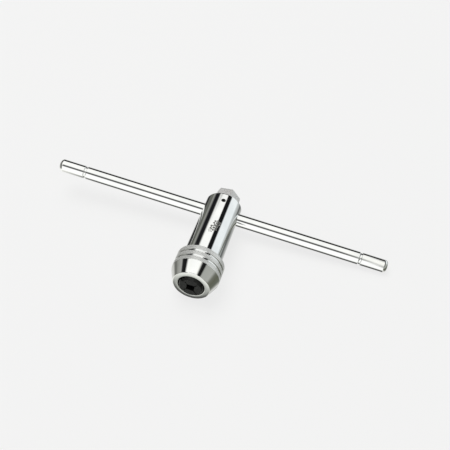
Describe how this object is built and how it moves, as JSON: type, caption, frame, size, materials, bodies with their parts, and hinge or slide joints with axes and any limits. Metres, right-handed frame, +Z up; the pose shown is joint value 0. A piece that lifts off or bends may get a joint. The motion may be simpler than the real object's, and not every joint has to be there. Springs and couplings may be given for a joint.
{
  "type": "tap wrench",
  "caption": "Tap wrench: chromed barrel with a hex end, a sliding T-bar and a screw-cap jaw chuck that grips a tap's square.",
  "frame": {"origin": "middle of the underside of the whole tool's box, on the flat surface that it lies on", "axes": "+Z up from that surface; +X along the T-bar; +Y from the chuck towards the hex end, so the chuck faces -Y"},
  "size_m": [0.1598, 0.0582, 0.0223],
  "materials": {
    "chrome": "bright polished chrome plate with fine turning marks",
    "black_oxide": "black oxide, satin, lightly oiled",
    "hardened_steel": "ground hardened steel",
    "spring_steel": "bright drawn spring wire"
  },
  "bodies": {
    "barrel_unit": {"barrel": "chrome", "chuck_core": "black_oxide", "core_pins": "hardened_steel", "detent_screw": "black_oxide", "detent_spring": "spring_steel"},
    "t_bar": {"t_bar": "chrome"},
    "detent_ball": {"detent_ball": "hardened_steel"},
    "cone_ring": {"cone_ring": "hardened_steel"},
    "chuck_cap": {"chuck_cap": "chrome"},
    "jaw_1": {"jaw_1": "black_oxide"},
    "jaw_2": {"jaw_2": "black_oxide"},
    "jaw_3": {"jaw_3": "black_oxide"},
    "jaw_4": {"jaw_4": "black_oxide"},
    "jaw_spring_1": {"jaw_spring_1": "spring_steel"},
    "jaw_spring_2": {"jaw_spring_2": "spring_steel"},
    "jaw_spring_3": {"jaw_spring_3": "spring_steel"},
    "jaw_spring_4": {"jaw_spring_4": "spring_steel"}
  },
  "joints": [
    {"name": "t_bar_slide", "type": "slide", "parent": "barrel_unit", "child": "t_bar", "axis": [0.9971, -0.0048, -0.076], "range_m": [-0.0675, 0.0669]},
    {"name": "detent_ball_lift", "type": "slide", "parent": "barrel_unit", "child": "detent_ball", "axis": [0.0761, 0.0626, 0.9951], "range_m": [0, 0.0003], "stiffness_N_per_m": 800, "springref_m": -0.0015, "deforming": ["detent_spring"]},
    {"name": "cap_advance", "type": "slide", "parent": "barrel_unit", "child": "cone_ring", "axis": [0, 0.998, -0.0628], "range_m": [-0.00214, 0.0005]},
    {"name": "cap_turn", "type": "hinge", "parent": "cone_ring", "child": "chuck_cap", "pos_m": [-0.0003, -0.02195, 0.01138], "axis": [0, 0.998, -0.0628], "range_deg": [-765, 180]},
    {"name": "jaw_1_slide", "type": "slide", "parent": "barrel_unit", "child": "jaw_1", "axis": [0.9971, -0.0048, -0.076], "range_m": [-0.00023, 0.001]},
    {"name": "jaw_2_slide", "type": "slide", "parent": "barrel_unit", "child": "jaw_2", "axis": [-0.0761, -0.0626, -0.9951], "range_m": [-0.00023, 0.001]},
    {"name": "jaw_3_slide", "type": "slide", "parent": "barrel_unit", "child": "jaw_3", "axis": [-0.9971, 0.0048, 0.076], "range_m": [-0.00023, 0.001]},
    {"name": "jaw_4_slide", "type": "slide", "parent": "barrel_unit", "child": "jaw_4", "axis": [0.0761, 0.0626, 0.9951], "range_m": [-0.00023, 0.001]},
    {"name": "jaw_spring_1_ride", "type": "slide", "parent": "barrel_unit", "child": "jaw_spring_1", "axis": [0.6512, -0.0477, -0.7574], "range_m": [-0.00016569, 0.00070418], "deforming": ["jaw_spring_1"]},
    {"name": "jaw_spring_2_ride", "type": "slide", "parent": "barrel_unit", "child": "jaw_spring_2", "axis": [-0.7589, -0.0409, -0.6499], "range_m": [-0.00016569, 0.00070418], "deforming": ["jaw_spring_2"]},
    {"name": "jaw_spring_3_ride", "type": "slide", "parent": "barrel_unit", "child": "jaw_spring_3", "axis": [-0.6512, 0.0477, 0.7574], "range_m": [-0.00016569, 0.00070418], "deforming": ["jaw_spring_3"]},
    {"name": "jaw_spring_4_ride", "type": "slide", "parent": "barrel_unit", "child": "jaw_spring_4", "axis": [0.7589, 0.0409, 0.6499], "range_m": [-0.00016569, 0.00070418], "deforming": ["jaw_spring_4"]}
  ],
  "couplings": [
    {"joint": "cap_advance", "follows": "cap_turn", "m_per_rad": 0.00015915},
    {"joint": "jaw_1_slide", "follows": "cap_turn", "m_per_rad": -0.000074215},
    {"joint": "jaw_2_slide", "follows": "cap_turn", "m_per_rad": -0.000074215},
    {"joint": "jaw_3_slide", "follows": "cap_turn", "m_per_rad": -0.000074215},
    {"joint": "jaw_4_slide", "follows": "cap_turn", "m_per_rad": -0.000074215},
    {"joint": "jaw_spring_1_ride", "follows": "cap_turn", "m_per_rad": -0.000052478},
    {"joint": "jaw_spring_2_ride", "follows": "cap_turn", "m_per_rad": -0.000052478},
    {"joint": "jaw_spring_3_ride", "follows": "cap_turn", "m_per_rad": -0.000052478},
    {"joint": "jaw_spring_4_ride", "follows": "cap_turn", "m_per_rad": -0.000052478}
  ]
}
